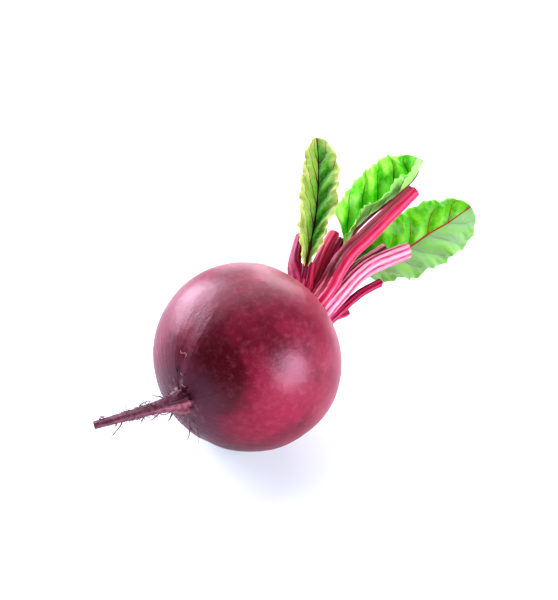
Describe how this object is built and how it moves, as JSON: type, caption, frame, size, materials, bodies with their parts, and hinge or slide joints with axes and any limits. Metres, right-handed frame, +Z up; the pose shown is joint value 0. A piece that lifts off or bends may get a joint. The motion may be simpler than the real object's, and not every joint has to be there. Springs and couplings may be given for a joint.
{
  "type": "beetroot",
  "caption": "Globe-shaped beetroot lying on its side, with a thin curved taproot, trimmed leaf stalks fanning from the crown and a few small crinkled leaves.",
  "frame": {"origin": "middle of the small flat spot that the root rests on", "axes": "+Z up; seen along +Y the taproot points to the left and towards the viewer, and the crown points to the right and away"},
  "size_m": [0.1575, 0.1342, 0.0982],
  "materials": {
    "root_skin": "smooth satin skin, wine red, greyer towards the tail",
    "red_stalk": "satin, ribbed lengthwise, crimson",
    "pale_stalk": "satin, pale pink with magenta stripes",
    "leaf_stalk": "satin, dark beet red",
    "leaf_blade": "satin green with dark red veins"
  },
  "bodies": {
    "root": {"beet_root": "root_skin", "cut_stalk_1": "red_stalk", "cut_stalk_2": "pale_stalk", "cut_stalk_3": "red_stalk", "cut_stalk_4": "red_stalk", "cut_stalk_5": "red_stalk", "cut_stalk_6": "pale_stalk", "cut_stalk_7": "red_stalk", "cut_stalk_8": "red_stalk", "cut_stalk_9": "red_stalk", "young_shoot": "red_stalk", "leaf_1_stalk": "leaf_stalk", "leaf_2_stalk": "leaf_stalk", "leaf_3_stalk": "leaf_stalk", "leaf_1_blade": "leaf_blade", "leaf_2_blade": "leaf_blade", "leaf_3_blade": "leaf_blade"}
  },
  "joints": []
}
